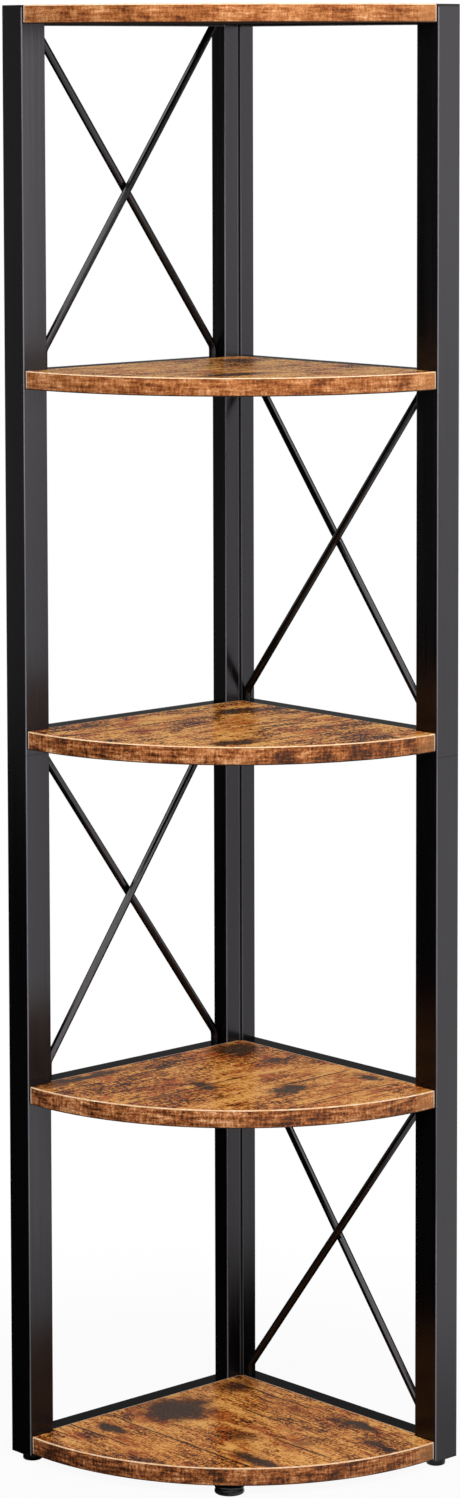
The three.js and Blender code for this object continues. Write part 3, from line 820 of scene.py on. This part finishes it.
def core_outline():
    """The board without its edge band, walked clockwise seen from above."""
    front = offset_outline(front_line(), BAND_THICKNESS, False)
    left = [plan(NOTCH, BESIDE_POST), plan(NOTCH, BAR), plan(BAR + REAR_CORNER, BAR)]
    right = [plan(BAR, BAR + REAR_CORNER), plan(BAR, NOTCH), plan(BESIDE_POST, NOTCH)]
    return front + left + right


def make_boards():
    pale = pale_edge_material()
    underside_shade = underside_shade_material()
    for shelf in range(1, SHELVES + 1):
        node = "shelf_board_%d" % shelf
        low, high = (corner.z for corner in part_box(node))
        decor = board_material(shelf)
        core = slab("board_core_%d" % shelf, core_outline(), low, high, CORE_EDGE, [decor, underside_shade])
        strip = band_strip("board_edge_band_%d" % shelf, low, high, [band_material(shelf), pale, underside_shade])
        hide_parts(node)
        for piece in (core, strip):
            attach(piece, "frame")


# Feet and bolts, turned finer than in the CAD model
TURNED_SIDES = 48
UP = Vector((0.0, 0.0, 1.0))
STEM_RADIUS = 3 * MM
THREAD_PITCH = 1.25 * MM
THREAD_DEPTH = 0.35 * MM
STEM_TIP_SHARE = 2 / 3         # of the stem's radius, at its tip
STEM_PLAIN_SHARE = 1 / 3       # of the stem's radius, left without thread at the tip
POST_FOOT_HEIGHT = 5.5 * MM
BOARD_FOOT_HEIGHT = 8 * MM
BOARD_FOOT_WAIST = 1.3 * MM
BOLT_RADIUS = 2.5 * MM
BOLT_HEAD_RADIUS = 4.75 * MM
BOLT_HEAD_HEIGHT = 2.8 * MM
BOLT_SOCKET_RADIUS = 1.75 * MM
BOLT_SOCKET_DEPTH = 1.6 * MM
HEX_SIDES = 6

# Shares of a foot's height, and of a bolt head's height
POST_FOOT_EDGE_SHARE = 0.2
BOARD_FOOT_EDGE_SHARE = 0.16
FOOT_TOP_EDGE_SHARE = 0.1
WAIST_SHARES = (0.32, 0.62, 0.76)
BOLT_ROUND_SHARE = 0.6

# Steps of the round edges
FOOT_EDGE_STEPS = 4
FOOT_TOP_STEPS = 3
BOLT_ROUND_STEPS = 5


def turned(profile, foot, up, side):
    """Vertices and faces of a piece turned about the line from foot along up, open at its last ring."""
    third = up.cross(side)
    vertices = []
    for radius, height in profile:
        for step in range(TURNED_SIDES):
            angle = 2 * math.pi * step / TURNED_SIDES
            around = side * (radius * math.cos(angle)) + third * (radius * math.sin(angle))
            vertices.append(foot + up * height + around)
    faces = [tuple(reversed(range(TURNED_SIDES)))]
    for ring in range(len(profile) - 1):
        for step in range(TURNED_SIDES):
            a = ring * TURNED_SIDES + step
            b = ring * TURNED_SIDES + (step + 1) % TURNED_SIDES
            faces.append((a, b, b + TURNED_SIDES, a + TURNED_SIDES))
    return vertices, faces


def round_edge(radius, height, size, steps, upper):
    """Profile of a quarter round of the given size at the outer edge of a disc, from below upwards."""
    points = []
    for step in range(steps + 1):
        angle = math.pi / 2 * step / steps
        if upper:
            out, rise = math.cos(angle), math.sin(angle) - 1
        else:
            out, rise = math.sin(angle), 1 - math.cos(angle)
        points.append((radius - size + size * out, height + size * rise))
    return points


def stem_profile(low, high):
    """Threaded stem, from the top of the pad to the stem's tip."""
    points = [(STEM_RADIUS - THREAD_DEPTH, low)]
    turns = int((high - low - STEM_RADIUS * STEM_PLAIN_SHARE) / THREAD_PITCH)
    for turn in range(turns):
        level = low + THREAD_PITCH * turn
        points.append((STEM_RADIUS, level + THREAD_PITCH / 2))
        points.append((STEM_RADIUS - THREAD_DEPTH, level + THREAD_PITCH))
    return points + [(STEM_RADIUS * STEM_TIP_SHARE, high)]


def post_pad(radius):
    """Height and profile of the pad of a foot under a post."""
    height = POST_FOOT_HEIGHT
    return height, round_edge(radius, 0.0, height * POST_FOOT_EDGE_SHARE, FOOT_EDGE_STEPS, False)


def board_pad(radius):
    """Height and profile of the pad of the foot under the board, with a waist between its rims."""
    height = BOARD_FOOT_HEIGHT
    insets = (0.0, BOARD_FOOT_WAIST, 0.0)
    waist = [(radius - inset, height * share) for inset, share in zip(insets, WAIST_SHARES)]
    return height, round_edge(radius, 0.0, height * BOARD_FOOT_EDGE_SHARE, FOOT_EDGE_STEPS, False) + waist


def make_feet(material):
    """Each foot is a body of its own and rides on it."""
    for node in [name for name in frame["nodes"] if name.endswith("_foot")]:
        body = node
        low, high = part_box(node)
        radius = (high.x - low.x) / 2
        middle = (low + high) / 2
        height, pad = board_pad(radius) if node == "board_foot" else post_pad(radius)
        pad += round_edge(radius, height, height * FOOT_TOP_EDGE_SHARE, FOOT_TOP_STEPS, True)
        profile = pad + stem_profile(height, high.z - low.z)
        foot = Vector((middle.x, middle.y, low.z))
        vertices, faces = turned(profile, foot, UP, Vector((1.0, 0.0, 0.0)))
        faces.append(tuple(range(len(vertices) - TURNED_SIDES, len(vertices))))
        piece = mesh_object(node + "_turned", vertices, faces, [0] * len(faces), [material])
        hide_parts(node)
        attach(piece, body)


def bolt_axis(node):
    """Foot, direction and length of a bolt whose head faces its frame's wall."""
    low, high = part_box(node)
    middle = (low + high) / 2
    if node.startswith("left"):
        return Vector((high.x, middle.y, middle.z)), Vector((-1.0, 0.0, 0.0)), high.x - low.x
    return Vector((middle.x, low.y, middle.z)), Vector((0.0, 1.0, 0.0)), high.y - low.y


def bolt_profile(length):
    under_head = length - BOLT_HEAD_HEIGHT
    shank = [(BOLT_RADIUS / 2, 0.0), (BOLT_RADIUS, BOLT_RADIUS / 2), (BOLT_RADIUS, under_head)]
    head = round_edge(BOLT_HEAD_RADIUS, length, BOLT_HEAD_HEIGHT * BOLT_ROUND_SHARE, BOLT_ROUND_STEPS, True)
    return shank + [(BOLT_HEAD_RADIUS, under_head)] + head


def add_socket(vertices, faces, foot, axis, length):
    """Closes the open end of a bolt's head with a hexagon socket."""
    rim = len(vertices) - TURNED_SIDES
    third = axis.cross(UP)
    for level in (length, length - BOLT_SOCKET_DEPTH):
        for step in range(HEX_SIDES):
            angle = 2 * math.pi * step / HEX_SIDES
            around = UP * math.cos(angle) + third * math.sin(angle)
            vertices.append(foot + axis * level + around * BOLT_SOCKET_RADIUS)
    sides = TURNED_SIDES // HEX_SIDES
    mouth = rim + TURNED_SIDES
    for step in range(HEX_SIDES):
        after = (step + 1) % HEX_SIDES
        arc = [rim + (step * sides + k) % TURNED_SIDES for k in range(sides + 1)]
        faces.append((*arc, mouth + after, mouth + step))
        faces.append((mouth + step, mouth + after, mouth + HEX_SIDES + after, mouth + HEX_SIDES + step))
    faces.append(tuple(range(mouth + HEX_SIDES, mouth + 2 * HEX_SIDES)))


def make_bolts(material):
    """Board bolts with a round head and a hexagon socket, the heads towards the walls."""
    for node in [name for name in frame["nodes"] if "_board_bolt_" in name]:
        foot, axis, length = bolt_axis(node)
        vertices, faces = turned(bolt_profile(length), foot, axis, UP)
        add_socket(vertices, faces, foot, axis, length)
        piece = mesh_object(node + "_turned", vertices, faces, [0] * len(faces), [material])
        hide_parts(node)
        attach(piece, "frame")


CAD_SMOOTH_ANGLE = 50          # degrees


def dress_cad_nodes():
    """Every CAD node that stays takes its material from its slot, and its round corners shade smooth."""
    post = steel_material("black_powder_coat_post", FRONT_POST_GLOSS)
    rear_post = steel_material("black_powder_coat_rear_post", REAR_POST_GLOSS)
    bar = steel_material("black_powder_coat_bar", BAR_GLOSS)
    rod = steel_material("black_powder_coat_rod", ROD_GLOSS, tubes=False)
    plastic = plastic_material()
    zinc = zinc_material()
    by_slot = {"frame_steel": post, "plastic": plastic, "zinc": zinc}
    by_part = {"_brace_": rod, "_shelf_bar_": bar, "_rear_post_": rear_post}
    slots = {row["node"]: row["material_slot"] for row in frame["record"]["subparts"]}
    for name, node in frame["nodes"].items():
        material = by_slot.get(slots[name])
        if material is None:
            continue
        for part, steel in by_part.items():
            if part in name:
                material = steel
        node.data.materials.clear()
        node.data.materials.append(material)
        node.data.shade_smooth()
        node.data.set_sharp_from_angle(angle=math.radians(CAD_SMOOTH_ANGLE))
        node.modifiers.new("weighted_normals", "WEIGHTED_NORMAL").keep_sharp = True
    make_feet(plastic)
    make_bolts(zinc)


# Studio. Directions on the floor: the lit side, to the front and right, a brighter strip in it, the back of
# the room corner, and a card on the left
LIT_SIDE = (0.990, 0.139, 0.0)
STRIP_SIDE = (0.999, -0.041, 0.0)
BACK_SIDE = (-0.739, 0.673, 0.0)
CARD_SIDE = (-0.879, -0.477, 0.0)

# Cosines of the angle to each direction, where it begins to show and where it is full
LIT_FADE = (0.45, 0.62)
STRIP_FADE = (0.70, 0.80)
BACK_FADE = (0.55, 0.9)
CARD_FADE = (0.978, 0.988)
OVERHEAD_BACK_FADE = (0.0, 0.4)

# Heights of a direction, as sines: the lit side falls to its share, and the overhead card begins
LOWERED_HEIGHTS = (0.06, 0.24)
LOWERED_SHARE = 0.13
OVERHEAD_HEIGHTS = (0.40, 0.56)

# Brightness that gloss sees, in the backdrop and in the floor
BACKDROP_GLOSS = {"lit": 2.7, "back": 0.17, "strip_light": 2.4}
FLOOR_GLOSS = {"lit": 2.0, "back": 0.04, "strip_light": 0.8}
DARK_GLOSS = 0.01
CARD_GLOSS = 0.74
OVERHEAD_GLOSS = 5.0
CARD_DISTANCE = 4.5            # from where on the floor mirrors the card
CARD_DISTANCE_FADE = 0.3
AMBIENT = 0.34

WHITE = (1.0, 1.0, 1.0, 1.0)
FLOOR_HALF_SIZE = 12.0
FLOOR_GREY = (0.70, 0.70, 0.70, 1.0)
FLOOR_FADE = (0.25, 0.9)       # distances between which the floor turns white
FLOOR_WHITE_SHARE = 0.94       # how white the camera sees it close to the unit
FLOOR_GLOSS_FADE = (0.3, 0.8)
FLOOR_GLOSS_SHARE = 0.6        # of its mirrored light, close to the unit

# Lamps: place, size of the square and power
LAMPS = {"key": ((1.9, -1.0, 2.6), 1.2, 66), "front": ((0.6, -2.4, 2.2), 1.0, 14)}
LAMP_TARGET = Vector((0.0, 0.0, 0.9))


def studio_gloss(tree, direction, lit, back, strip_light, card):
    """Brightness that gloss sees in a direction: lit towards the lit side with a brighter strip in it, dim
    behind, dark to the left except for a card, and lit again from overhead but for the back."""
    to_lit, to_back, to_strip, to_card = (dot(tree, direction, side)
                                          for side in (LIT_SIDE, BACK_SIDE, STRIP_SIDE, CARD_SIDE))
    front = smooth(tree, to_lit, *LIT_FADE, 0.0, lit)
    rear = smooth(tree, to_back, *BACK_FADE, DARK_GLOSS, back)
    strip = smooth(tree, to_strip, *STRIP_FADE, 0.0, strip_light)
    height = split(tree, direction)["Z"]
    lowered = smooth(tree, height, *LOWERED_HEIGHTS, 1.0, LOWERED_SHARE)
    lit_side = maths(tree, "MULTIPLY", maths(tree, "ADD", front, strip), lowered)
    left = maths(tree, "MULTIPLY", smooth(tree, to_card, *CARD_FADE), card)
    overhead = smooth(tree, height, *OVERHEAD_HEIGHTS, 0.0, OVERHEAD_GLOSS)
    overhead = maths(tree, "MULTIPLY", overhead, smooth(tree, to_back, *OVERHEAD_BACK_FADE, 1.0, 0.0))
    return strongest(tree, [lit_side, rear, left, overhead])


def make_world():
    """White to the camera. Gloss sees the studio, and everything else a plain ambient light."""
    world = bpy.data.worlds.new("studio")
    bpy.context.scene.world = world
    world.use_nodes = True
    tree = world.node_tree
    tree.nodes.clear()
    direction = add(tree, "ShaderNodeTexCoord").outputs["Generated"]
    path = add(tree, "ShaderNodeLightPath").outputs
    mirrored = maths(tree, "MAXIMUM", path["Is Glossy Ray"], path["Is Transmission Ray"])
    gloss = studio_gloss(tree, direction, card=CARD_GLOSS, **BACKDROP_GLOSS)
    light = mix_value(tree, mirrored, AMBIENT, gloss)
    light = mix_value(tree, path["Is Camera Ray"], light, 1.0)
    shader = add(tree, "ShaderNodeBackground", {"Color": WHITE, "Strength": light})
    output = add(tree, "ShaderNodeOutputWorld")
    tree.links.new(shader.outputs[0], output.inputs[0])


def floor_material():
    """A pale floor that keeps a faint shadow near the unit and fades to the white of the backdrop."""
    material, tree = empty_material("pale_floor")
    place = add(tree, "ShaderNodeTexCoord").outputs["Object"]
    path = add(tree, "ShaderNodeLightPath").outputs
    reach = vector_length(tree, place)
    fade = smooth(tree, reach, *FLOOR_FADE, FLOOR_WHITE_SHARE, 1.0)
    matt = add(tree, "ShaderNodeBsdfDiffuse", {"Color": FLOOR_GREY}).outputs[0]
    white = add(tree, "ShaderNodeEmission", {"Color": WHITE, "Strength": 1.0}).outputs[0]
    to_camera = maths(tree, "MULTIPLY", path["Is Camera Ray"], fade)
    plain = add(tree, "ShaderNodeMixShader", {0: to_camera, 1: matt, 2: white}).outputs[0]

    edge = (CARD_DISTANCE - CARD_DISTANCE_FADE, CARD_DISTANCE + CARD_DISTANCE_FADE)
    card = smooth(tree, reach, *edge, 0.0, CARD_GLOSS)
    gloss = studio_gloss(tree, vector_maths(tree, "NORMALIZE", place), card=card, **FLOOR_GLOSS)
    gloss = maths(tree, "MULTIPLY", gloss, smooth(tree, reach, *FLOOR_GLOSS_FADE, FLOOR_GLOSS_SHARE, 1.0))
    mirrored = add(tree, "ShaderNodeEmission", {"Strength": gloss}).outputs[0]
    both = add(tree, "ShaderNodeMixShader", {0: path["Is Glossy Ray"], 1: plain, 2: mirrored}).outputs[0]
    output = add(tree, "ShaderNodeOutputMaterial")
    tree.links.new(both, output.inputs[0])
    return material


def make_floor():
    signs = ((-1, -1), (1, -1), (1, 1), (-1, 1))
    corners = [(FLOOR_HALF_SIZE * x, FLOOR_HALF_SIZE * y, 0.0) for x, y in signs]
    floor = mesh_object("floor", corners, [(0, 1, 2, 3)], [0], [floor_material()])


def make_lights():
    """Soft square lamps, which gloss doesn't see."""
    for name, (place, size, power) in LAMPS.items():
        data = bpy.data.lights.new(name, "AREA")
        data.shape = "SQUARE"
        data.size = size
        data.energy = power
        lamp = bpy.data.objects.new(name, data)
        bpy.context.scene.collection.objects.link(lamp)
        lamp.location = place
        lamp.visible_glossy = False
        lamp.rotation_mode = "QUATERNION"
        lamp.rotation_quaternion = (LAMP_TARGET - Vector(place)).to_track_quat("-Z", "Y")


make_camera()
make_world()
make_floor()
make_lights()
dress_cad_nodes()
make_boards()

bpy.context.scene.view_settings.view_transform = "Standard"
